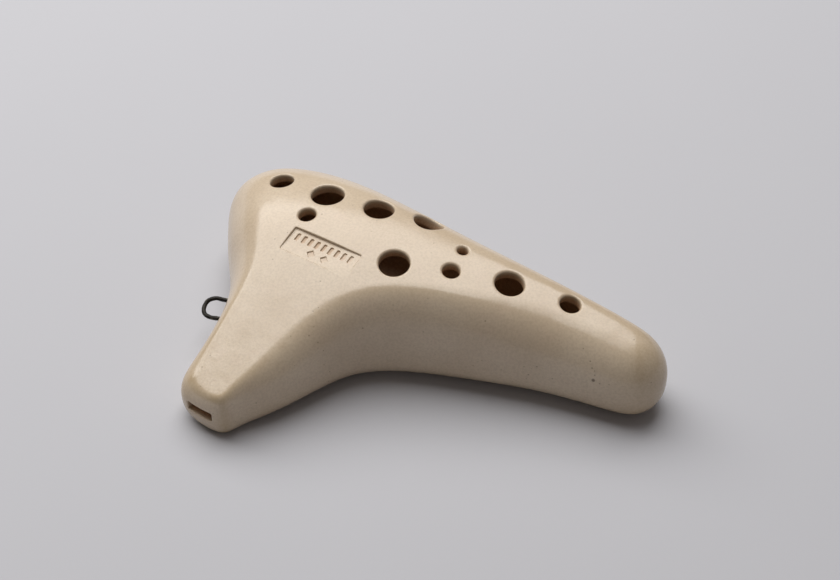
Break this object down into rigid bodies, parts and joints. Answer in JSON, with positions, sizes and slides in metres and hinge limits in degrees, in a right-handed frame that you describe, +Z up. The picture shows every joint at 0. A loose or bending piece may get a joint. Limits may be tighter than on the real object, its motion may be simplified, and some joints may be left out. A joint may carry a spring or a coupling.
{
  "type": "ocarina",
  "caption": "Glazed clay transverse ocarina: a hollow two-shell chamber with finger and thumb holes, a luted beak with its windway, and a wire cord loop.",
  "frame": {"origin": "on the resting surface, under the middle of the overall outline", "axes": "+X along the body from the bulb to the tail end, +Y from the beak tip to the far flank, +Z up out of the finger-hole face"},
  "size_m": [0.1388, 0.0876, 0.0336],
  "materials": {
    "glazed_clay": "thin satin glaze over cream clay with fine specks",
    "fired_wire": "dark scaled wire, fired with the clay"
  },
  "bodies": {
    "root": {"upper_shell": "glazed_clay", "lower_shell": "glazed_clay", "mouthpiece_roof": "glazed_clay", "mouthpiece_floor": "glazed_clay", "strap_loop": "fired_wire"}
  },
  "joints": []
}
